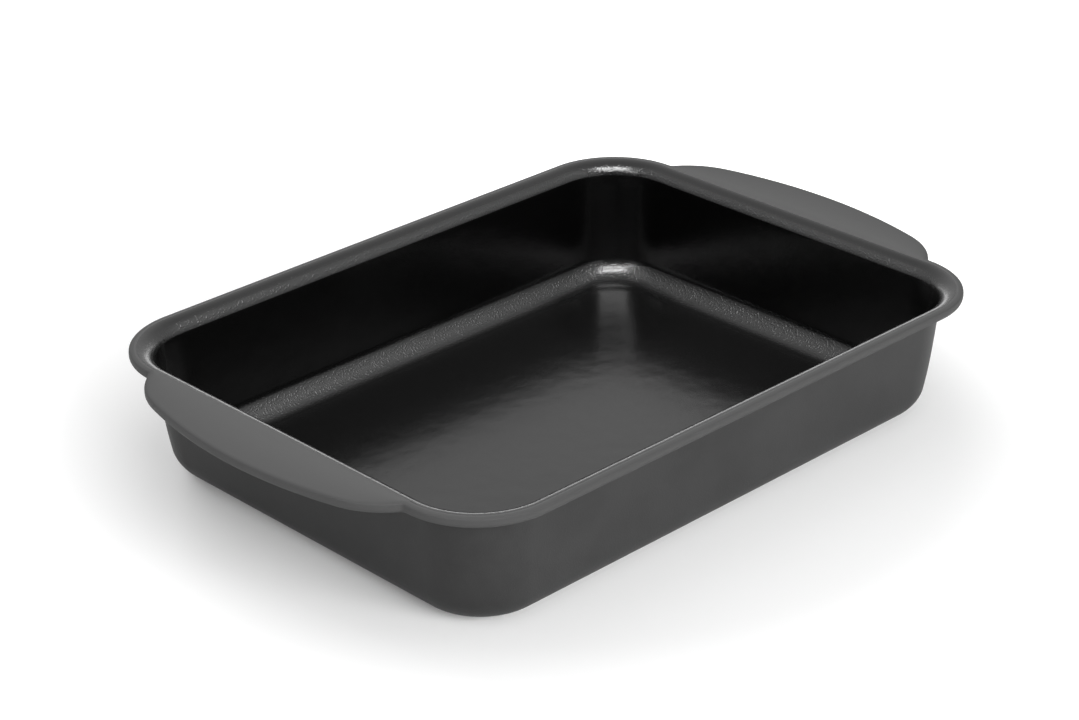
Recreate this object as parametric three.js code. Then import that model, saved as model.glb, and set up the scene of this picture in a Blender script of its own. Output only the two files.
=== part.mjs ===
// Roasting pan of pressed steel, in millimetres, +Z up, standing on Z = 0 with the origin under its centre.
// +X runs along the long sides, and a wing handle stands out from the rim at each end of it.
// One sheet makes the floor, the drafted walls, the rim, both handles and the roll round their edge.
// A lining covers the sheet's upper side, an outer coat its lower side, and a wire fills the roll.
import * as THREE from 'three';

const { degToRad } = THREE.MathUtils;
const RIGHT_ANGLE = Math.PI / 2;

// Driving dimensions of the pan
const RIM_LENGTH = 360; // outside the roll, without the handles
const RIM_WIDTH = 271; // outside the roll
const HEIGHT = 66.4; // from the base to the crest of the rim
const WALL_DRAFT = degToRad(6.4); // lean of the walls from upright
const FLOOR_FILLET = 14; // inside radius between floor and wall
const FLOOR_CORNER_RADIUS = 23.5; // plan radius at the corners of the flat floor
const RIM_CORNER_RADIUS = 43.6; // plan radius at the corners of the rim, outside the roll
const CREST_RADIUS = 7.8; // radius over the crest, from the wall to the rim
const RIM_LAND = 0.5; // straight width between crest and roll on the plain sides

// Driving dimensions of the handles
const HANDLE_BOW = 16; // how far the handle's edge bows out between its ends
const HANDLE_END_REACH = 10; // reach beyond the rim from which the bow starts
const HANDLE_SETBACK = 0.5; // from the end of the rim's corner curve to the handle's notch
const HANDLE_FLARE = degToRad(36); // lean of the handle's ends from square to the rim
const NOTCH_RADIUS = 2.3; // radius where the handle's edge turns into the rim

// Layers of the sheet and the wire in its roll
const LINING_THICKNESS = 0.2;
const STEEL_THICKNESS = 0.6;
const COAT_THICKNESS = 0.2;
const BOND_GAP = 0.05; // kept between a coat and the steel
const WIRE_DIAMETER = 2.7;
const WIRE_CLEARANCE = 0.15; // round the wire
const ROLL_DROP = 0.05; // top of the roll below the crest
const ROLL_WRAP = degToRad(170); // how far the roll turns under, past its outermost point

// Steps of the faceted curves
const FILLET_STEPS = 4;
const CREST_STEPS = 3;
const ROLL_STEPS = 6;
const WIRE_SIDES = 8;
const CORNER_STEPS = 6;
const HANDLE_STEPS = 5;
const END_STEPS = 4;
const NOTCH_STEPS = 2;

// Depths of the layers below the lining's face
const steelTop = LINING_THICKNESS + BOND_GAP;
const steelBottom = steelTop + STEEL_THICKNESS;
const coatTop = steelBottom + BOND_GAP;
const sheetThickness = coatTop + COAT_THICKNESS;

// Section through the wall. An inset is measured inwards from the outermost line of the rim.
// The roll keeps one level all round, and the rim is the straight line that touches crest and roll.
const rollRadius = WIRE_DIAMETER / 2 + WIRE_CLEARANCE + sheetThickness;
const rollZ = HEIGHT - ROLL_DROP - rollRadius;
const crestZ = HEIGHT - CREST_RADIUS;
const radiusStep = CREST_RADIUS - rollRadius;
const crestToRoll = Math.sqrt(RIM_LAND ** 2 + radiusStep ** 2 - (rollZ - crestZ) ** 2);
const crestInset = rollRadius + crestToRoll;
const filletZ = sheetThickness + FLOOR_FILLET;
const wallTopZ = crestZ + CREST_RADIUS * Math.sin(WALL_DRAFT);
const wallFootZ = filletZ - FLOOR_FILLET * Math.sin(WALL_DRAFT);
const wallTopInset = crestInset + CREST_RADIUS * Math.cos(WALL_DRAFT);
const wallRun = (wallTopZ - wallFootZ) * Math.tan(WALL_DRAFT);
const filletInset = wallTopInset + wallRun + FLOOR_FILLET * Math.cos(WALL_DRAFT);

// Corners of the rim, about these centres. The corners of the floor are rounder than walls set in evenly would
// make them, so below the crest the centres move in as well, by this share of the inset.
const cornerX = RIM_LENGTH / 2 - RIM_CORNER_RADIUS;
const cornerY = RIM_WIDTH / 2 - RIM_CORNER_RADIUS;
const cornerTaper = (FLOOR_CORNER_RADIUS + filletInset - RIM_CORNER_RADIUS) / (filletInset - crestInset);

/** Values from start to end in equal steps, both ends included. */
function steps(start, end, count) {
  return Array.from({ length: count + 1 }, (_, k) => THREE.MathUtils.lerp(start, end, k / count));
}

/** Unit vector in plan at an angle from +X. */
function direction(angle) {
  return new THREE.Vector2(Math.cos(angle), Math.sin(angle));
}

/** Points of an arc in plan, each with the direction that faces out of the pan there. */
function arc(centre, radius, start, end, count) {
  return steps(start, end, count).map((angle) => ({
    edge: direction(angle).multiplyScalar(radius).add(centre),
    edgeNormal: direction(angle),
  }));
}

/**
 * Half of the +X handle's edge, from its middle to the rim: a long bow, a round end and a hollow notch.
 * Each point is matched to a point of the straight rim line, at the same share of the way along.
 */
function handleStations() {
  const rimX = RIM_LENGTH / 2;
  const notchY = cornerY - HANDLE_SETBACK;
  const halfWidth = notchY - NOTCH_RADIUS;
  const bowRadius = (halfWidth ** 2 + HANDLE_BOW ** 2) / (2 * HANDLE_BOW);
  const bowCentre = new THREE.Vector2(rimX + HANDLE_END_REACH + HANDLE_BOW - bowRadius, 0);
  const notchCentre = new THREE.Vector2(rimX + NOTCH_RADIUS, notchY);

  // The round end touches the notch on the flared line between their centres, and the bow from inside.
  const flareAngle = RIGHT_ANGLE - HANDLE_FLARE;
  const flare = direction(flareAngle);
  const offset = notchCentre.clone().sub(bowCentre);
  const along = offset.dot(flare);
  const room = bowRadius ** 2 - offset.lengthSq() - NOTCH_RADIUS ** 2 + 2 * NOTCH_RADIUS * along;
  const endRadius = room / (2 * (bowRadius + NOTCH_RADIUS - along));
  const endCentre = notchCentre.clone().addScaledVector(flare, -NOTCH_RADIUS - endRadius);
  const meetAngle = endCentre.clone().sub(bowCentre).angle();

  const bow = arc(bowCentre, bowRadius, 0, meetAngle, HANDLE_STEPS);
  const end = arc(endCentre, endRadius, meetAngle, flareAngle, END_STEPS);
  const notch = arc(notchCentre, -NOTCH_RADIUS, flareAngle, 0, NOTCH_STEPS);
  const stations = [...bow, ...end.slice(1), ...notch.slice(1)];

  let travelled = 0;
  const lengths = stations.map((station, k) => {
    travelled += k > 0 ? station.edge.distanceTo(stations[k - 1].edge) : 0;
    return travelled;
  });
  return stations.map((station, k) => ({
    ...station,
    rim: new THREE.Vector2(rimX, (notchY * lengths[k]) / travelled),
    rimNormal: direction(0),
  }));
}

/** Stations of one quarter of the pan, from the middle of the +X handle to the middle of the +Y side. */
function quarterStations() {
  const corner = arc(new THREE.Vector2(cornerX, cornerY), RIM_CORNER_RADIUS, 0, RIGHT_ANGLE, CORNER_STEPS);
  const middle = { edge: new THREE.Vector2(0, RIM_WIDTH / 2), edgeNormal: direction(RIGHT_ANGLE) };
  const plain = [...corner, middle].map((station) => ({
    ...station,
    rim: station.edge,
    rimNormal: station.edgeNormal,
  }));
  return [...handleStations(), ...plain];
}

/** A copy of the stations, mirrored by the signs given for x and y. */
function mirrored(stations, signX, signY) {
  const signs = new THREE.Vector2(signX, signY);
  return stations.map((station) => ({
    edge: station.edge.clone().multiply(signs),
    edgeNormal: station.edgeNormal.clone().multiply(signs),
    rim: station.rim.clone().multiply(signs),
    rimNormal: station.rimNormal.clone().multiply(signs),
  }));
}

/** All stations round the pan, anticlockwise from above, with the rim's slope worked out at each. */
function ringStations() {
  const quarter = quarterStations();
  const stations = [
    ...quarter,
    ...mirrored(quarter, -1, 1).reverse().slice(1),
    ...mirrored(quarter, -1, -1).slice(1),
    ...mirrored(quarter, 1, -1).reverse().slice(1, -1),
  ];
  return stations.map((station) => {
    const crest = station.rim.clone().addScaledVector(station.rimNormal, -crestInset);
    const roll = station.edge.clone().addScaledVector(station.edgeNormal, -rollRadius);
    const apart = crest.distanceTo(roll);
    const lean = Math.asin(radiusStep / Math.hypot(apart, rollZ - crestZ));
    return { ...station, slope: lean - Math.atan2(rollZ - crestZ, apart) };
  });
}

const ring = ringStations();

/** The point of the basin at an inset from the rim, at height z, with the corners drawn in by their taper. */
function basinPoint({ rim, rimNormal }, inset, z) {
  const shift = cornerTaper * Math.max(inset - crestInset, 0);
  const drawnIn = new THREE.Vector2(1 - shift / cornerX, 1 - shift / cornerY);
  const plan = rim.clone().addScaledVector(rimNormal, -RIM_CORNER_RADIUS).multiply(drawnIn);
  plan.addScaledVector(rimNormal, RIM_CORNER_RADIUS + shift - inset);
  return new THREE.Vector3(plan.x, plan.y, z);
}

/** The point at an inset from the edge of rim and handles, at height z. */
function edgePoint({ edge, edgeNormal }, inset, z) {
  const plan = edge.clone().addScaledVector(edgeNormal, -inset);
  return new THREE.Vector3(plan.x, plan.y, z);
}

/** Rows of the sheet at a depth below the lining, from the edge of the flat floor over the crest. */
function basinRows(depth) {
  const filletRadius = FLOOR_FILLET + depth;
  const fillet = steps(RIGHT_ANGLE, WALL_DRAFT, FILLET_STEPS).map((angle) => {
    const inset = filletInset - filletRadius * Math.cos(angle);
    const z = filletZ - filletRadius * Math.sin(angle);
    return ring.map((station) => basinPoint(station, inset, z));
  });
  const crestRadius = CREST_RADIUS - depth;
  const crest = steps(0, 1, CREST_STEPS).map((share) => ring.map((station) => {
    const angle = THREE.MathUtils.lerp(WALL_DRAFT, RIGHT_ANGLE + station.slope, share);
    const inset = crestInset + crestRadius * Math.cos(angle);
    return basinPoint(station, inset, crestZ + crestRadius * Math.sin(angle));
  }));
  return [...fillet, ...crest];
}

/** Rows of the roll at a depth below the lining, from where the rim touches it round to its free edge. */
function rollRows(depth) {
  const radius = rollRadius - depth;
  return steps(0, 1, ROLL_STEPS).map((share) => ring.map((station) => {
    const angle = THREE.MathUtils.lerp(RIGHT_ANGLE - station.slope, -ROLL_WRAP, share);
    const inset = rollRadius - radius * Math.cos(angle);
    return edgePoint(station, inset, rollZ + radius * Math.sin(angle));
  }));
}

/**
 * Triangles that join each row to the next, all the way round, with their faces to the rows' left.
 * The diagonals mirror from quarter to quarter, as the pan does.
 */
function bandTriangles(rowCount) {
  const triangles = [];
  const count = ring.length;
  for (let row = 0; row + 1 < rowCount; row += 1) {
    for (let k = 0; k < count; k += 1) {
      const next = (k + 1) % count;
      const middle = ring[k].rim.clone().add(ring[next].rim);
      const near = row * count;
      const far = near + count;
      if (middle.x * middle.y > 0) {
        triangles.push(near + k, far + k, far + next);
        triangles.push(near + k, far + next, near + next);
      } else {
        triangles.push(near + k, far + k, near + next);
        triangles.push(near + next, far + k, far + next);
      }
    }
  }
  return triangles;
}

/** A mesh from rows of points and triangles. */
function meshOf(name, points, triangles, material) {
  const geometry = new THREE.BufferGeometry().setFromPoints(points);
  geometry.setIndex(triangles);
  geometry.computeVertexNormals();
  const mesh = new THREE.Mesh(geometry, new THREE.MeshStandardMaterial(material));
  mesh.name = name;
  return mesh;
}

/** A layer of the sheet: its upper rows, back along its lower rows, and the flat floor on both sides. */
function layer(name, upperRows, lowerRows, material) {
  const rows = [...upperRows, ...lowerRows.toReversed()];
  const count = ring.length;
  const points = rows.flat();
  const triangles = bandTriangles(rows.length);
  const upperCentre = points.length;
  const lowerCentre = upperCentre + 1;
  const lowerFloor = (rows.length - 1) * count;
  points.push(new THREE.Vector3(0, 0, upperRows[0][0].z));
  points.push(new THREE.Vector3(0, 0, lowerRows[0][0].z));
  for (let k = 0; k < count; k += 1) {
    const next = (k + 1) % count;
    triangles.push(upperCentre, k, next);
    triangles.push(lowerCentre, lowerFloor + next, lowerFloor + k);
  }
  return meshOf(name, points, triangles, material);
}

/** The wire: a closed loop of round section along the middle of the roll. */
function wire(name, material) {
  const radius = WIRE_DIAMETER / 2;
  const rows = steps(0, -2 * Math.PI, WIRE_SIDES).slice(0, -1).map((angle) => ring.map((station) => {
    const inset = rollRadius - radius * Math.cos(angle);
    return edgePoint(station, inset, rollZ + radius * Math.sin(angle));
  }));
  const points = rows.flat();
  const triangles = bandTriangles(rows.length + 1).map((index) => index % points.length);
  return meshOf(name, points, triangles, material);
}

/** Rows of the sheet from the floor to the free edge of the roll. */
function sheetRows(depth) {
  return [...basinRows(depth), ...rollRows(depth)];
}

/** Rows of the sheet from the floor to where the roll begins. */
function openRows(depth) {
  return [...basinRows(depth), rollRows(depth)[0]];
}

const pan = new THREE.Group();
pan.name = 'roasting_pan';
pan.add(
  layer('nonstick_lining', sheetRows(0), sheetRows(LINING_THICKNESS), {
    color: 0x1a1a1b,
    roughness: 0.42,
    metalness: 0,
  }),
  layer('steel_shell', sheetRows(steelTop), sheetRows(steelBottom), {
    color: 0x7d8083,
    roughness: 0.4,
    metalness: 1,
  }),
  layer('outer_coat', openRows(coatTop), openRows(sheetThickness), {
    color: 0x232425,
    roughness: 0.5,
    metalness: 0,
  }),
  wire('rim_wire', { color: 0x909396, roughness: 0.35, metalness: 1 }),
);

export default pan;
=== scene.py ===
"""Roasting pan of pressed steel, finished for the eye: fine surfaces, coats, floor, light and camera.

The pan is one sheet with a dark lining on its upper side, a satin coat on its lower side and a wire
rolled into its edge. Every surface is a grid: rows run from the middle of the floor over the wall and
the rim to the free edge of the roll, and stations run round the pan. The pan's lengths are in
millimetres, and those of the studio in metres.
"""
import math

import bpy
import numpy as np
from mathutils import Matrix, Vector


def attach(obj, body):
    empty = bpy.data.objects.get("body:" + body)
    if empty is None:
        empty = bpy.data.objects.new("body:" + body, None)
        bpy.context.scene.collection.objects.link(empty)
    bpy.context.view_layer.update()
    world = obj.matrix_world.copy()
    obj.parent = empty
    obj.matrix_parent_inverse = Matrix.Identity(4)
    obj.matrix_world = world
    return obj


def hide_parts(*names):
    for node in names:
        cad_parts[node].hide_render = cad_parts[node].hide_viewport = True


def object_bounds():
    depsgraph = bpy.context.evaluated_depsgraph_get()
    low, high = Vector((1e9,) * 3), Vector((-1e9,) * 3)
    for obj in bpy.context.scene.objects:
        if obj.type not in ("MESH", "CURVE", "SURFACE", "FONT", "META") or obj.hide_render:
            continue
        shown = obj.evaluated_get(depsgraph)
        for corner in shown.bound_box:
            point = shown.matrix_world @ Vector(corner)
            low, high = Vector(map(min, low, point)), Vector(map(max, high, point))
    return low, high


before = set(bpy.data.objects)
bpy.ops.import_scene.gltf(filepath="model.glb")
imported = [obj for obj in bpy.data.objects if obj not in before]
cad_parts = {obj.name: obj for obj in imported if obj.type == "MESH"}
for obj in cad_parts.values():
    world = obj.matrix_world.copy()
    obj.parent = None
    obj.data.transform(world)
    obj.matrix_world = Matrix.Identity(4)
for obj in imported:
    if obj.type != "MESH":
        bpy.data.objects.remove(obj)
cad_low, cad_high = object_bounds()

MM = 0.001
RIGHT_ANGLE = math.pi / 2

# Overall sizes of the pan, read from the frame
RIM_WIDTH = (cad_high.y - cad_low.y) / MM
HEIGHT = (cad_high.z - cad_low.z) / MM
REACH = cad_high.x / MM  # from the middle to the outermost point of a handle

# Basin and rim
WALL_DRAFT = math.radians(6.4)
FLOOR_FILLET = 14.0
FLOOR_CORNER_RADIUS = 23.5
RIM_CORNER_RADIUS = 43.6
CREST_RADIUS = 7.8
RIM_LAND = 0.5
CORNER_BOW = 0.45  # how far the drawn corners' walls stand out from straight, a third of the way up
BOW_SCALE = 27 / 4  # brings share * (1 - share)**2 to 1 a third of the way up

# Handles
HANDLE_BOW = 16.0
HANDLE_END_REACH = 10.0
HANDLE_SETBACK = 0.5
HANDLE_FLARE = math.radians(36)
NOTCH_RADIUS = 2.3
RIM_X = REACH - HANDLE_END_REACH - HANDLE_BOW  # the rim's outermost line at the short sides

# Layers of the sheet, as depths below the lining's face, and the roll round the wire
LINING_DEPTHS = (0.0, 0.2)
STEEL_DEPTHS = (0.25, 0.85)
COAT_DEPTHS = (0.9, 1.1)
WIRE_RADIUS = 1.35
WIRE_CLEARANCE = 0.15
ROLL_DROP = 0.05
ROLL_WRAP = math.radians(170)
BEND_WEIGHT = 2.2  # pull of the bend over the roll towards its corner; a round bend has about 0.7

# Section through the wall; an inset is measured inwards from the outermost line of the rim
SHEET = COAT_DEPTHS[1]
ROLL_RADIUS = WIRE_RADIUS + WIRE_CLEARANCE + SHEET
ROLL_Z = HEIGHT - ROLL_DROP - ROLL_RADIUS
CREST_Z = HEIGHT - CREST_RADIUS
RADIUS_STEP = CREST_RADIUS - ROLL_RADIUS
CREST_INSET = ROLL_RADIUS + math.sqrt(RIM_LAND**2 + RADIUS_STEP**2 - (ROLL_Z - CREST_Z) ** 2)
FILLET_Z = SHEET + FLOOR_FILLET
WALL_RISE = CREST_Z - FILLET_Z + (CREST_RADIUS + FLOOR_FILLET) * math.sin(WALL_DRAFT)
FILLET_INSET = (
    CREST_INSET
    + (CREST_RADIUS + FLOOR_FILLET) * math.cos(WALL_DRAFT)
    + WALL_RISE * math.tan(WALL_DRAFT)
)

# Centres of the rim's corners, and the share of the inset by which they move in below the crest, because
# the corners of the floor are rounder than walls set in evenly would make them
CORNERS = np.array([RIM_X, RIM_WIDTH / 2]) - RIM_CORNER_RADIUS
CORNER_TAPER = (FLOOR_CORNER_RADIUS + FILLET_INSET - RIM_CORNER_RADIUS) / (FILLET_INSET - CREST_INSET)

# Fineness of the grids
BOW_STEPS, END_STEPS, NOTCH_STEPS, CORNER_STEPS, SIDE_STEPS = 52, 18, 12, 40, 24
FLOOR_STEPS, FILLET_STEPS, WALL_STEPS, CREST_STEPS = 8, 14, 10, 14
LAND_STEPS, BEND_STEPS, ROLL_STEPS = 4, 10, 12
WIRE_SIDES = 20
SHARP_ANGLE = math.radians(50)

# Where the lining bends, which is also where its painted sheen lies, as shares of the way up the fillet
# and over the crest: in full from, in full up to, and not at all from
FILLET_BEND_AND_SHEEN = (0.55, 0.74, 0.88)
CREST_BEND_AND_SHEEN = (0.06, 0.2, 0.7)
SATIN_START = 0.93  # share of the way over the crest
FOOT_START = 0.85  # of the rougher foot of the corners' walls, as a share of the way up the fillet

# Finish of the lining
GLOSSY, GRAINY, SATIN = 0.18, 0.42, 0.8  # roughness of its floor and walls, its bends, and its rim
FLOOR_GRAIN = 0.12  # grain of the floor and walls, against that of the bends
PAINTED_SHEEN_PALE = 0.4  # paleness of the painted sheen on the bends, against that of the rim
FOOT_ROUGH = 0.25  # roughness of the corners' foot, against that of the bends
CORNER_LESS_GRAIN, CORNER_LESS_SHEEN_AND_ROUGH = 0.4, 0.8  # how much the corners' bends lose: of their grain, and of their painted sheen and roughness
LAND_PAINTED_SHADE = 0.7  # painted shade of the satin at the outer end of the land, against its inner end
BEND_SHARES = (0.0, 0.4, 1.0)
BEND_PAINTED_SHADES = (LAND_PAINTED_SHADE, 0.36, 0.74)  # painted shade at these shares of the bend over the roll, darkest in a line at its shoulder
# painted shade of the roll's face, which turns downwards
ROLL_PAINTED_SHADE = 0.77

# Colours as linear greys and roughness, both from the dark to the light clouds of a coat
NOISE_RANGE = (0.3, 0.7)  # middle of a noise's values, where most of them lie
LINING_GREYS = (0.0008, 0.0014)
SATIN_GREY = 0.0625
OUTER_GREYS = (0.0245, 0.0345)
OUTER_ROUGHNESS = (0.48, 0.56)
OUTER_SPECULAR = 0.2
SHEET_GREYS = (0.44, 0.55)
WIRE_GREYS = (0.48, 0.6)
STEEL_ROUGHNESS = (0.28, 0.42)

# Grain of a coat: pebbles per metre, pebble height, wave height, and depth of the bump in metres
LINING_GRAIN = (1000.0, 1.0, 1.1, 0.00013)
OUTER_GRAIN = (1200.0, 0.25, 0.8, 0.00008)
STEEL_GRAIN = (1500.0, 0.2, 1.0, 0.00004)
DOME_RANGE = (0.5, 0.72)  # values of the pebbles' noise that rise into domes
WAVES_PER_METRE = 90.0
CLOUDS_PER_METRE = 45.0

# Photograph's view: azimuth 0 looks along +Y, and the aim is the point in the middle of the picture
VIEW_AZIMUTH = math.radians(-43.89)
VIEW_ELEVATION = math.radians(26.32)
VIEW_ROLL = math.radians(-0.69)
VIEW_DISTANCE = 1.3904
VIEW_SHIFT = (-0.00733, 0.00677)  # from the middle of the pan to the aim, right and up in the picture
VIEW_LENS = 93.21
SENSOR_WIDTH = 36.0

# Studio
FLOOR_SIZE = 12.0
FLOOR_LEVEL = 0.0
FLOOR_GREY = 0.88
FLOOR_ROUGHNESS = 0.9
LIFT_DISTANCES = (0.2, 0.4)  # from the middle of the floor
LIFT_STRENGTHS = (0.12, 0.8)  # white that is added there to the floor that is seen
ROOM_LIGHT = 0.5  # of the white room as a light, against the white that is seen of it
FLAG_AZIMUTH = math.radians(-68)
FLAG_DISTANCE, FLAG_WIDTH, FLAG_HEIGHT = 1.9, 3.8, 1.45
FLAG_GREY = 0.2

# Lamps: name, azimuth and elevation in degrees, width and height, and radiance
LAMP_DISTANCE = 1.6
SHINE_LAMPS = (
    ("key_lamp", -38, 69, (1.2, 0.26), 34.0),
    ("strip_lamp", -42, 54, (1.3, 0.24), 26.0),
    ("left_lamp", -84, 36, (0.25, 0.25), 26.0),
    ("horizon_lamp", 136, 9, (2.4, 0.25), 1.5),
)
FILL_LAMPS = (
    ("fill_lamp", -6, 24, (1.2, 0.7), 9.8),
    ("back_lamp", 175, 25, (1.2, 0.6), 6.6),
)


def arc(centre, radius, start, end, count):
    """Points at the centre plus radius times (cos, sin) of even angles, and those unit vectors."""
    angles = np.linspace(start, end, count + 1)
    outward = np.stack([np.cos(angles), np.sin(angles)], axis=1)
    return np.asarray(centre) + radius * outward, outward


def rise(value, start=0.0, end=1.0):
    """A smooth rise from 0 at the start to 1 at the end, level at both; it falls if the end is lower."""
    share = np.clip((value - start) / (end - start), 0, 1)
    return share**2 * (3 - 2 * share)


def hump(value, full, fading, end):
    """0 at value 0, a smooth rise to 1 at full, and a smooth fall from fading to 0 at the end."""
    return rise(value, 0, full) * rise(value, end, fading)


def handle_half():
    """Half of the +X handle's edge, from its middle to the rim: a long bow, a round end and a notch.

    The bow's radius follows from its chord and height. The round end touches the notch on the flared
    line between their centres and the bow from inside. Each point is matched to the point of the
    straight rim line at the same share of the way along.
    """
    notch_y = CORNERS[1] - HANDLE_SETBACK
    half_width = notch_y - NOTCH_RADIUS
    bow_radius = (half_width**2 + HANDLE_BOW**2) / (2 * HANDLE_BOW)
    bow_centre = np.array([REACH - bow_radius, 0.0])
    notch_centre = np.array([RIM_X + NOTCH_RADIUS, notch_y])
    flare_angle = RIGHT_ANGLE - HANDLE_FLARE
    flare = np.array([math.cos(flare_angle), math.sin(flare_angle)])
    offset = notch_centre - bow_centre
    along = offset @ flare
    room = bow_radius**2 - offset @ offset - NOTCH_RADIUS**2 + 2 * NOTCH_RADIUS * along
    end_radius = room / (2 * (bow_radius + NOTCH_RADIUS - along))
    end_centre = notch_centre - flare * (NOTCH_RADIUS + end_radius)
    meet_angle = math.atan2(end_centre[1] - bow_centre[1], end_centre[0] - bow_centre[0])

    bow, bow_out = arc(bow_centre, bow_radius, 0, meet_angle, BOW_STEPS)
    end, end_out = arc(end_centre, end_radius, meet_angle, flare_angle, END_STEPS)
    notch, notch_out = arc(notch_centre, -NOTCH_RADIUS, flare_angle, 0, NOTCH_STEPS)
    edge = np.concatenate([bow, end[1:], notch[1:]])
    edge_out = np.concatenate([bow_out, end_out[1:], notch_out[1:]])

    travelled = np.concatenate([[0], np.cumsum(np.linalg.norm(np.diff(edge, axis=0), axis=1))])
    rim = np.stack([np.full(len(edge), RIM_X), notch_y * travelled / travelled[-1]], axis=1)
    rim_out = np.broadcast_to([1.0, 0.0], rim.shape)
    return edge, edge_out, rim, rim_out


def all_quarters(quarter):
    """A quarter of the ring and its three mirror images, end to end, with no station twice."""
    return np.concatenate([
        quarter,
        (quarter * [-1, 1])[-2::-1],
        (quarter * [-1, -1])[1:],
        (quarter * [1, -1])[-2:0:-1],
    ])


def ring_stations():
    """Stations round the pan, anticlockwise: edge and rim lines, their outward directions, and slope.

    One quarter is a handle half, a round corner and half a long side, and the others mirror it. The
    rim's section is the common tangent of the crest circle and the roll circle, which gives its slope.
    """
    corner, corner_out = arc(CORNERS, RIM_CORNER_RADIUS, 0, RIGHT_ANGLE, CORNER_STEPS)
    side_x = np.linspace(CORNERS[0], 0, SIDE_STEPS + 1)[1:]
    side = np.stack([side_x, np.full(SIDE_STEPS, RIM_WIDTH / 2)], axis=1)
    side_out = np.broadcast_to([0.0, 1.0], side.shape)
    plain = np.concatenate([corner, side])
    plain_out = np.concatenate([corner_out, side_out])

    pairs = zip(handle_half(), (plain, plain_out, plain, plain_out))
    edge, edge_out, rim, rim_out = (all_quarters(np.concatenate(pair)) for pair in pairs)
    apart = np.linalg.norm((rim - CREST_INSET * rim_out) - (edge - ROLL_RADIUS * edge_out), axis=1)
    drop = ROLL_Z - CREST_Z
    slope = np.arcsin(RADIUS_STEP / np.hypot(apart, drop)) - np.arctan2(drop, apart)
    return edge, edge_out, rim, rim_out, slope


EDGE, EDGE_OUT, RIM, RIM_OUT, SLOPE = ring_stations()
STATIONS = len(EDGE)

# 0 at stations on straight walls, 1 in the middle of a corner
CORNER_SHARE = rise(np.abs(2 * RIM_OUT[:, 0] * RIM_OUT[:, 1]))


def raised_rows(plan, z):
    """Rows of points of the plan, lifted to heights given per row, or per row and station."""
    return np.concatenate([plan, np.broadcast_to(z, plan.shape[:2])[..., None]], axis=2)


def basin_points(inset, z):
    """Rows of the basin at insets from the rim and heights z.

    Below the crest the corner centres move in by their taper: the rim line less the corner's radius
    shrinks towards the middle, and the corner's radius less the inset grows by as much.
    """
    inset = np.broadcast_to(inset, (len(inset), STATIONS))[..., None]
    shift = CORNER_TAPER * np.maximum(inset - CREST_INSET, 0)
    core = (RIM - RIM_CORNER_RADIUS * RIM_OUT) * (1 - shift / CORNERS)
    return raised_rows(core + RIM_OUT * (RIM_CORNER_RADIUS + shift - inset), z)


def edge_points(inset, z):
    """Rows of points at insets from the edge of rim and handles, and at heights z."""
    inset = np.broadcast_to(inset, (len(inset), STATIONS))[..., None]
    return raised_rows(EDGE - EDGE_OUT * inset, z)


def rows_between(first, last, count):
    """The rows strictly between two rows, in equal steps along straight lines."""
    share = np.linspace(0, 1, count + 1)[1:-1, None, None]
    return first + (last - first) * share


def basin_rows(depth):
    """Floor, fillet, wall and crest of the sheet at a depth below the lining's face.

    Floor rows shrink the floor's outline towards its middle. The fillet turns from level to the wall's
    lean, the wall is straight in its section, and the crest turns from the wall's lean past upright to
    the rim's slope. In the corners the wall stands out in a slight bow, share * (1 - share)**2 of the
    way up, scaled to the bow's height a third of the way up.
    """
    angle = np.linspace(RIGHT_ANGLE, WALL_DRAFT, FILLET_STEPS + 1)[:, None]
    radius = FLOOR_FILLET + depth
    fillet = basin_points(FILLET_INSET - radius * np.cos(angle), FILLET_Z - radius * np.sin(angle))

    share = np.linspace(0, 1, CREST_STEPS + 1)[:, None]
    angle = WALL_DRAFT + (RIGHT_ANGLE + SLOPE - WALL_DRAFT) * share
    radius = CREST_RADIUS - depth
    crest = basin_points(CREST_INSET + radius * np.cos(angle), CREST_Z + radius * np.sin(angle))

    middle = np.zeros_like(fillet[0])
    middle[:, 2] = fillet[0, :, 2]
    floor = rows_between(middle, fillet[0], FLOOR_STEPS)
    wall = rows_between(fillet[-1], crest[0], WALL_STEPS)
    share = np.linspace(0, 1, WALL_STEPS + 1)[1:-1, None]
    bow = CORNER_BOW * BOW_SCALE * share * (1 - share) ** 2 * CORNER_SHARE
    wall[..., :2] += bow[..., None] * RIM_OUT
    return np.concatenate([floor, fillet, wall, crest])


def roll_rows(depth):
    """The roll of the sheet at a depth: a tight bend down from the rim, then an arc to the free edge.

    The bend is a conic: the mean of its start, its corner and its end with the weights (1 - t)**2,
    2 * BEND_WEIGHT * t * (1 - t) and t**2. Its corner lies on the rim's line, upright over its end,
    which is the outermost point of the roll.
    """
    start = RIGHT_ANGLE - SLOPE
    share = np.linspace(0, 1, BEND_STEPS + 1)[:, None]
    first, corner, last = (1 - share) ** 2, 2 * BEND_WEIGHT * share * (1 - share), share**2
    whole = first + corner + last
    bend_out = (first * np.cos(start) + corner + last) / whole
    bend_up = (first * np.sin(start) + corner * np.tan(start / 2)) / whole
    angle = np.linspace(0, -ROLL_WRAP, ROLL_STEPS + 1)[1:, None] + np.zeros(STATIONS)
    out = np.concatenate([bend_out, np.cos(angle)])
    up = np.concatenate([bend_up, np.sin(angle)])
    radius = ROLL_RADIUS - depth
    return edge_points(ROLL_RADIUS - radius * out, ROLL_Z + radius * up)


def sheet_rows(depth, rolled):
    """All rows of the sheet at a depth: basin, straight land, and the whole roll or only its start."""
    basin, roll = basin_rows(depth), roll_rows(depth)
    land = rows_between(basin[-1], roll[0], LAND_STEPS)
    return np.concatenate([basin, land, roll if rolled else roll[:1]])


def band_quads(rows, closed):
    """Quads that join each row to the next all the way round, and the last to the first if closed."""
    index = np.arange(rows * STATIONS).reshape(rows, STATIONS)
    near = index if closed else index[:-1]
    far = np.roll(index, -1, axis=0) if closed else index[1:]
    quads = np.stack([near, far, np.roll(far, -1, axis=1), np.roll(near, -1, axis=1)], axis=-1)
    return quads.reshape(-1, 4).tolist()


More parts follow.
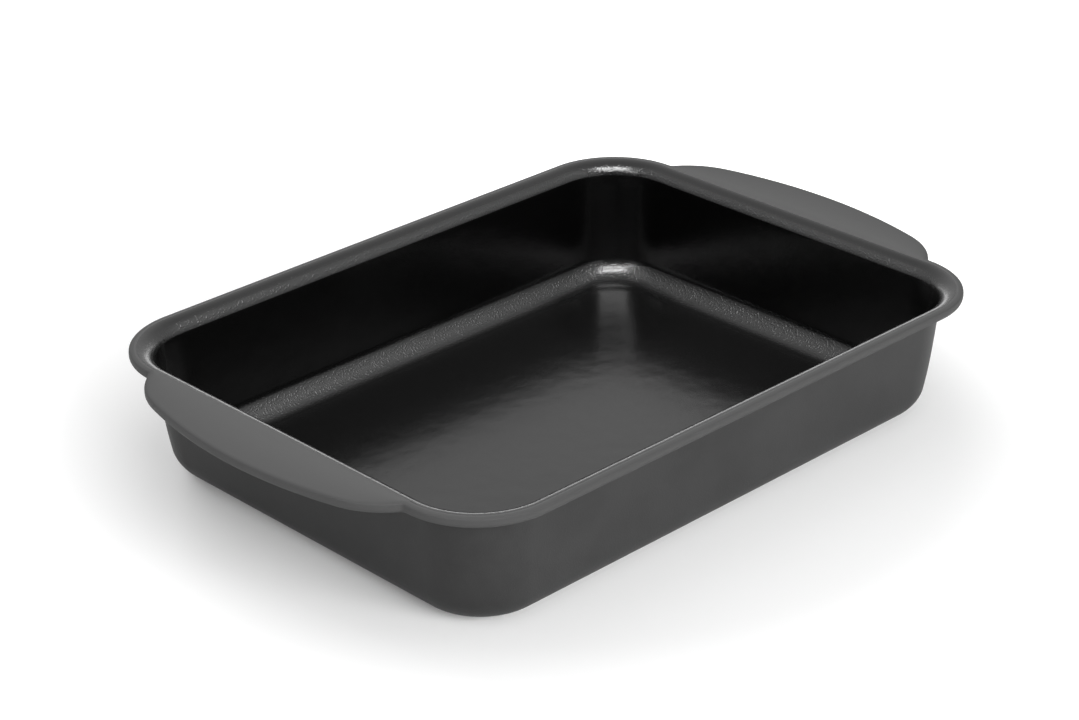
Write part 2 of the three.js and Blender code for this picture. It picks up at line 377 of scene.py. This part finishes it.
def new_piece(name, points, faces, node, material):
    """A smooth mesh piece in metres at the origin, which stands for a node of the frame."""
    mesh = bpy.data.meshes.new(name)
    mesh.from_pydata((points.reshape(-1, 3) * MM).tolist(), [], faces)
    mesh.shade_smooth()
    mesh.set_sharp_from_angle(angle=SHARP_ANGLE)
    mesh.materials.append(material)
    piece = bpy.data.objects.new(name, mesh)
    bpy.context.scene.collection.objects.link(piece)
    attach(piece, "root")
    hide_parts(node)
    return piece


def sheet_layer(name, depths, rolled, node, material):
    """A closed layer of the sheet: rows of its upper face, then back along its lower face."""
    upper, lower = (sheet_rows(depth, rolled) for depth in depths)
    rows = np.concatenate([upper, lower[::-1]])
    middles = np.array([[0, 0, upper[0, 0, 2]], [0, 0, lower[0, 0, 2]]])
    points = np.concatenate([rows.reshape(-1, 3), middles])
    faces = band_quads(len(rows), closed=False)
    this = np.arange(STATIONS)
    after = np.roll(this, -1)
    last = (len(rows) - 1) * STATIONS
    top, bottom = np.full(STATIONS, len(points) - 2), np.full(STATIONS, len(points) - 1)
    faces += np.stack([top, this, after], axis=1).tolist()
    faces += np.stack([bottom, last + after, last + this], axis=1).tolist()
    return new_piece(name, points, faces, node, material)


def face_rows(floor=0.0, fillet=0.0, wall=0.0, crest=0.0, land=0.0, bend=0.0, roll=0.0):
    """A column of one value for each row of the lining's face, from a value or values for each part."""
    counts = (
        FLOOR_STEPS - 1,
        FILLET_STEPS + 1,
        WALL_STEPS - 1,
        CREST_STEPS + 1,
        LAND_STEPS - 1,
        BEND_STEPS + 1,
        ROLL_STEPS,
    )
    parts = (floor, fillet, wall, crest, land, bend, roll)
    return np.concatenate([np.broadcast_to(part, count) for part, count in zip(parts, counts)])[:, None]


def mark_lining(piece):
    """Stores on each point of the lining how grainy, how pale and how rough it is.

    The coat is grainy and rougher where the sheet bends, in the fillet and on the lower crest, and less
    so in the corners, where it was drawn out smooth. Its paler colour there is painted sheen, a band of
    light that those curves catch, and it is weaker in the corners. The corners' walls are rougher at
    their foot. From the top of the crest outwards it is a satin coat without grain, with painted shade
    that darkens it towards a dark line at the bend over the roll and leaves the roll's face darker.
    """
    fillet = np.linspace(0, 1, FILLET_STEPS + 1)
    wall = np.linspace(0, 1, WALL_STEPS + 1)[1:-1]
    crest = np.linspace(0, 1, CREST_STEPS + 1)
    bend = np.linspace(0, 1, BEND_STEPS + 1)
    bend_and_sheen = face_rows(fillet=hump(fillet, *FILLET_BEND_AND_SHEEN), crest=hump(crest, *CREST_BEND_AND_SHEEN))
    foot = face_rows(fillet=rise(fillet, FOOT_START), wall=(1 - wall) ** 2) * CORNER_SHARE
    satin = face_rows(crest=rise(crest, SATIN_START), land=1.0, bend=1.0, roll=1.0)
    # Painted shade of the satin: darker towards the outer end of the land, darkest in a line at the bend
    # over the roll, and darker on the roll's face
    tone = face_rows(
        crest=1.0,
        land=np.linspace(1, LAND_PAINTED_SHADE, LAND_STEPS)[:-1],
        bend=np.interp(bend, BEND_SHARES, BEND_PAINTED_SHADES),
        roll=ROLL_PAINTED_SHADE,
    )
    grainy = bend_and_sheen * (1 - CORNER_LESS_GRAIN * CORNER_SHARE)
    bend_and_sheen = bend_and_sheen * (1 - CORNER_LESS_SHEEN_AND_ROUGH * CORNER_SHARE)
    grain = (FLOOR_GRAIN + (1 - FLOOR_GRAIN) * grainy) * (1 - satin)
    # Paleness: painted sheen on the bends, and the satin grey with its painted shade towards the roll
    pale = PAINTED_SHEEN_PALE * bend_and_sheen + satin * tone
    rough = GLOSSY + (GRAINY - GLOSSY) * (bend_and_sheen + FOOT_ROUGH * foot) + (SATIN - GLOSSY) * satin
    for name, upper in (("grain", grain), ("pale", pale), ("rough", rough)):
        values = np.concatenate([upper.ravel(), upper[::-1].ravel(), [upper[0, 0], upper[0, 0]]])
        attribute = piece.data.attributes.new(name, "FLOAT", "POINT")
        attribute.data.foreach_set("value", values.astype(np.float32))


def wire_loop(name, node, material):
    """The wire: circles about the middle of the roll, joined into a closed loop."""
    angle = np.linspace(0, -2 * math.pi, WIRE_SIDES + 1)[:-1, None]
    inset = ROLL_RADIUS - WIRE_RADIUS * np.cos(angle)
    rows = edge_points(inset, ROLL_Z + WIRE_RADIUS * np.sin(angle))
    return new_piece(name, rows, band_quads(WIRE_SIDES, closed=True), node, material)


def new_node(tree, kind, values=None, **settings):
    """A node with its settings and the values of its unlinked inputs."""
    node = tree.nodes.new(kind)
    for key, value in settings.items():
        setattr(node, key, value)
    for key, value in (values or {}).items():
        node.inputs[key].default_value = value
    return node


def pebble_group():
    """Shared grain of a sprayed and cured coat: low pebbles over slow waves.

    Height adds the high spots of a smooth noise, raised into domes, and a noise with waves about 11 mm
    long, each times its own height. Speckle is the pebbles' noise and Cloud a noise that changes over
    a few centimetres, both from 0 to 1.
    """
    group = bpy.data.node_groups.new("coat_grain", "ShaderNodeTree")
    for name in ("Pebbles per metre", "Pebble height", "Wave height"):
        group.interface.new_socket(name, in_out="INPUT", socket_type="NodeSocketFloat")
    for name in ("Height", "Speckle", "Cloud"):
        group.interface.new_socket(name, in_out="OUTPUT", socket_type="NodeSocketFloat")
    take = new_node(group, "NodeGroupInput")
    give = new_node(group, "NodeGroupOutput")
    place = new_node(group, "ShaderNodeTexCoord")
    pebbles = new_node(group, "ShaderNodeTexNoise", {"Detail": 0.0})
    waves = new_node(
        group, "ShaderNodeTexNoise", {"Scale": WAVES_PER_METRE, "Detail": 1.0, "Roughness": 0.4}
    )
    cloud = new_node(
        group, "ShaderNodeTexNoise", {"Scale": CLOUDS_PER_METRE, "Detail": 4.0, "Roughness": 0.6}
    )
    domes = new_node(
        group,
        "ShaderNodeMapRange",
        {"From Min": DOME_RANGE[0], "From Max": DOME_RANGE[1]},
        interpolation_type="SMOOTHSTEP",
    )
    raised = new_node(group, "ShaderNodeMath", operation="MULTIPLY")
    swollen = new_node(group, "ShaderNodeMath", operation="MULTIPLY")
    height = new_node(group, "ShaderNodeMath", operation="ADD")
    link = group.links.new
    for noise in (pebbles, waves, cloud):
        link(place.outputs["Object"], noise.inputs["Vector"])
    link(take.outputs["Pebbles per metre"], pebbles.inputs["Scale"])
    link(pebbles.outputs["Fac"], domes.inputs["Value"])
    link(domes.outputs["Result"], raised.inputs[0])
    link(take.outputs["Pebble height"], raised.inputs[1])
    link(waves.outputs["Fac"], swollen.inputs[0])
    link(take.outputs["Wave height"], swollen.inputs[1])
    link(raised.outputs[0], height.inputs[0])
    link(swollen.outputs[0], height.inputs[1])
    link(height.outputs[0], give.inputs["Height"])
    link(pebbles.outputs["Fac"], give.inputs["Speckle"])
    link(cloud.outputs["Fac"], give.inputs["Cloud"])
    return group


def new_material(name):
    """A new material, its node tree and the tree's Principled shader."""
    material = bpy.data.materials.new(name)
    material.use_nodes = True
    tree = material.node_tree
    return material, tree, tree.nodes["Principled BSDF"]


def coat_bump(tree, shader, group, grain):
    """Bumps the shader with a coat's grain, whose node is returned for its tones."""
    per_metre, pebble_height, wave_height, depth = grain
    coat = new_node(
        tree,
        "ShaderNodeGroup",
        {"Pebbles per metre": per_metre, "Pebble height": pebble_height, "Wave height": wave_height},
        node_tree=group,
    )
    bump = new_node(tree, "ShaderNodeBump", {"Strength": 1.0, "Distance": depth})
    tree.links.new(coat.outputs["Height"], bump.inputs["Height"])
    tree.links.new(bump.outputs["Normal"], shader.inputs["Normal"])
    return coat


def grey(value):
    """An opaque neutral grey, as a linear colour."""
    return (value, value, value, 1.0)


def tone_ramp(tree, source, greys):
    """Colours from a dark to a light grey over the middle of a noise's values."""
    ramp = new_node(tree, "ShaderNodeValToRGB")
    for element, position, value in zip(ramp.color_ramp.elements, NOISE_RANGE, greys):
        element.position = position
        element.color = grey(value)
    tree.links.new(source, ramp.inputs["Fac"])
    return ramp.outputs["Color"]


def spread(tree, source, low, high, start=0.0, end=1.0):
    """A value that goes from low to high while the source goes from start to end."""
    values = {"From Min": start, "From Max": end, "To Min": low, "To Max": high}
    ranged = new_node(tree, "ShaderNodeMapRange", values)
    tree.links.new(source, ranged.inputs["Value"])
    return ranged.outputs["Result"]


def lining_finish(group):
    """Near-black glossy lining of the basin, which turns into a satin coat over the rim and handles."""
    material, tree, shader = new_material("nonstick_lining")
    coat = coat_bump(tree, shader, group, LINING_GRAIN)
    grain = new_node(tree, "ShaderNodeAttribute", attribute_name="grain")
    pale = new_node(tree, "ShaderNodeAttribute", attribute_name="pale")
    rough = new_node(tree, "ShaderNodeAttribute", attribute_name="rough")
    # The satin grey that the paleness mixes in also paints the sheen on the bends and the shade over the
    # roll
    colour = new_node(tree, "ShaderNodeMix", data_type="RGBA")
    colour.inputs["B"].default_value = grey(SATIN_GREY)
    link = tree.links.new
    link(grain.outputs["Fac"], coat.inputs["Pebble height"])
    link(pale.outputs["Fac"], colour.inputs["Factor"])
    link(tone_ramp(tree, coat.outputs["Cloud"], LINING_GREYS), colour.inputs["A"])
    link(colour.outputs["Result"], shader.inputs["Base Color"])
    link(rough.outputs["Fac"], shader.inputs["Roughness"])
    return material


def cloudy_finish(name, group, grain, greys, tone, roughness):
    """One coat or metal, and its shader: greys follow its clouds, and roughness one of its tones."""
    material, tree, shader = new_material(name)
    coat = coat_bump(tree, shader, group, grain)
    gloss = spread(tree, coat.outputs[tone], *roughness, *NOISE_RANGE)
    tree.links.new(tone_ramp(tree, coat.outputs["Cloud"], greys), shader.inputs["Base Color"])
    tree.links.new(gloss, shader.inputs["Roughness"])
    return material, shader


def outer_finish(group):
    """Satin dark-grey coat of the outside, with faint cloudiness and a fine grain."""
    material, shader = cloudy_finish(
        "outer_coat", group, OUTER_GRAIN, OUTER_GREYS, "Cloud", OUTER_ROUGHNESS
    )
    shader.inputs["Specular IOR Level"].default_value = OUTER_SPECULAR
    return material


def bare_steel_finish(name, group, greys):
    """Uncoated rolled or drawn steel, with a fine grain and speckled gloss."""
    material, shader = cloudy_finish(name, group, STEEL_GRAIN, greys, "Speckle", STEEL_ROUGHNESS)
    shader.inputs["Metallic"].default_value = 1.0
    return material


def seen_rays(tree):
    """1 for what the camera sees, straight, mirrored or through glass, and 0 for light that fills."""
    path = new_node(tree, "ShaderNodeLightPath")
    mirrored = new_node(tree, "ShaderNodeMath", operation="MAXIMUM")
    seen = new_node(tree, "ShaderNodeMath", operation="MAXIMUM")
    link = tree.links.new
    link(path.outputs["Is Glossy Ray"], mirrored.inputs[0])
    link(path.outputs["Is Transmission Ray"], mirrored.inputs[1])
    link(path.outputs["Is Camera Ray"], seen.inputs[0])
    link(mirrored.outputs[0], seen.inputs[1])
    return seen.outputs[0]


def matte_material(name, value, roughness):
    """A plain grey material without shine, its node tree and its shader."""
    material, tree, shader = new_material(name)
    shader.inputs["Base Color"].default_value = grey(value)
    shader.inputs["Roughness"].default_value = roughness
    shader.inputs["Specular IOR Level"].default_value = 0.0
    return material, tree, shader


def stage_card(name, corners, material):
    """A flat four-cornered piece of the studio."""
    mesh = bpy.data.meshes.new(name)
    mesh.from_pydata(corners, [], [(0, 1, 2, 3)])
    mesh.materials.append(material)
    card = bpy.data.objects.new(name, mesh)
    bpy.context.scene.collection.objects.link(card)
    return card


def studio_floor():
    """A plain pale floor that keeps the pan's shadow and whitens away from it, where it is seen."""
    half = FLOOR_SIZE / 2
    corners = [(x * half, y * half, FLOOR_LEVEL) for x, y in ((-1, -1), (1, -1), (1, 1), (-1, 1))]
    material, tree, shader = matte_material("studio_floor", FLOOR_GREY, FLOOR_ROUGHNESS)
    shader.inputs["Emission Color"].default_value = grey(1.0)
    place = new_node(tree, "ShaderNodeTexCoord")
    apart = new_node(tree, "ShaderNodeVectorMath", operation="LENGTH")
    lift = new_node(tree, "ShaderNodeMath", operation="MULTIPLY")
    link = tree.links.new
    link(place.outputs["Object"], apart.inputs[0])
    link(spread(tree, apart.outputs["Value"], *LIFT_STRENGTHS, *LIFT_DISTANCES), lift.inputs[0])
    link(seen_rays(tree), lift.inputs[1])
    link(lift.outputs[0], shader.inputs["Emission Strength"])
    stage_card("studio_floor", corners, material)


def from_view(azimuth, elevation):
    """Unit vector towards a viewer at an azimuth (0 looks along +Y) and an elevation."""
    level = math.cos(elevation)
    return Vector((math.sin(azimuth) * level, -math.cos(azimuth) * level, math.sin(elevation)))


def front_flag():
    """A tall dark card behind the viewer, seen only in reflections, which it keeps dark."""
    along = Vector((math.cos(FLAG_AZIMUTH), math.sin(FLAG_AZIMUTH), 0.0)) * FLAG_WIDTH / 2
    foot = from_view(FLAG_AZIMUTH, 0.0) * FLAG_DISTANCE
    top = foot + Vector((0.0, 0.0, FLAG_HEIGHT))
    corners = [foot + along, foot - along, top - along, top + along]
    material, _, _ = matte_material("front_flag", FLAG_GREY, 1.0)
    flag = stage_card("front_flag", corners, material)
    flag.visible_camera = False
    flag.visible_diffuse = False


def softbox(name, azimuth, elevation, size, radiance):
    """A soft rectangular lamp that faces the pan; its power is pi times its area times its radiance."""
    lamp = bpy.data.lights.new(name, "AREA")
    lamp.shape = "RECTANGLE"
    lamp.size, lamp.size_y = size
    lamp.energy = math.pi * size[0] * size[1] * radiance
    holder = bpy.data.objects.new(name, lamp)
    back = from_view(math.radians(azimuth), math.radians(elevation))
    holder.location = back * LAMP_DISTANCE
    holder.rotation_mode = "QUATERNION"
    holder.rotation_quaternion = back.to_track_quat("Z", "Y")
    holder.visible_camera = False
    bpy.context.scene.collection.objects.link(holder)
    return holder


def studio_light():
    """Soft studio: a white room, lamps that are seen only in reflections, and lamps that only fill."""
    world = bpy.data.worlds.new("white_studio")
    world.use_nodes = True
    bpy.context.scene.world = world
    tree = world.node_tree
    room = tree.nodes["Background"]
    room.inputs["Color"].default_value = grey(1.0)
    tree.links.new(spread(tree, seen_rays(tree), ROOM_LIGHT, 1.0), room.inputs["Strength"])
    for lamp in SHINE_LAMPS:
        softbox(*lamp).visible_diffuse = False
    for lamp in FILL_LAMPS:
        softbox(*lamp).visible_glossy = False


def photo_camera():
    """The camera: it looks at the pan's middle, shifted in the picture plane, with a slight roll."""
    back = from_view(VIEW_AZIMUTH, VIEW_ELEVATION)
    level = Vector((math.cos(VIEW_AZIMUTH), math.sin(VIEW_AZIMUTH), 0.0))
    upright = back.cross(level)
    right = level * math.cos(VIEW_ROLL) + upright * math.sin(VIEW_ROLL)
    up = upright * math.cos(VIEW_ROLL) - level * math.sin(VIEW_ROLL)
    middle = (cad_low + cad_high) / 2
    aim = middle + right * VIEW_SHIFT[0] + up * VIEW_SHIFT[1]
    place = aim + back * VIEW_DISTANCE
    data = bpy.data.cameras.new("photo_camera")
    data.sensor_fit = "HORIZONTAL"
    data.sensor_width = SENSOR_WIDTH
    data.lens = VIEW_LENS
    camera = bpy.data.objects.new("photo_camera", data)
    axes = Matrix((right, up, back)).transposed().to_4x4()
    camera.matrix_world = Matrix.Translation(place) @ axes
    bpy.context.scene.collection.objects.link(camera)
    bpy.context.scene.camera = camera


photo_camera()
studio_floor()
front_flag()
studio_light()

coat_grain = pebble_group()
lining_coat = lining_finish(coat_grain)
outer_coat = outer_finish(coat_grain)
sheet_steel = bare_steel_finish("sheet_steel", coat_grain, SHEET_GREYS)
wire_steel = bare_steel_finish("wire_steel", coat_grain, WIRE_GREYS)

lining = sheet_layer(
    "nonstick_lining_skin", LINING_DEPTHS, True, "nonstick_lining", lining_coat
)
mark_lining(lining)
sheet_layer("outer_coat_skin", COAT_DEPTHS, False, "outer_coat", outer_coat)
sheet_layer("steel_sheet", STEEL_DEPTHS, True, "steel_shell", sheet_steel)
wire_loop("rolled_in_wire", "rim_wire", wire_steel)

bpy.context.scene.view_settings.view_transform = "Standard"
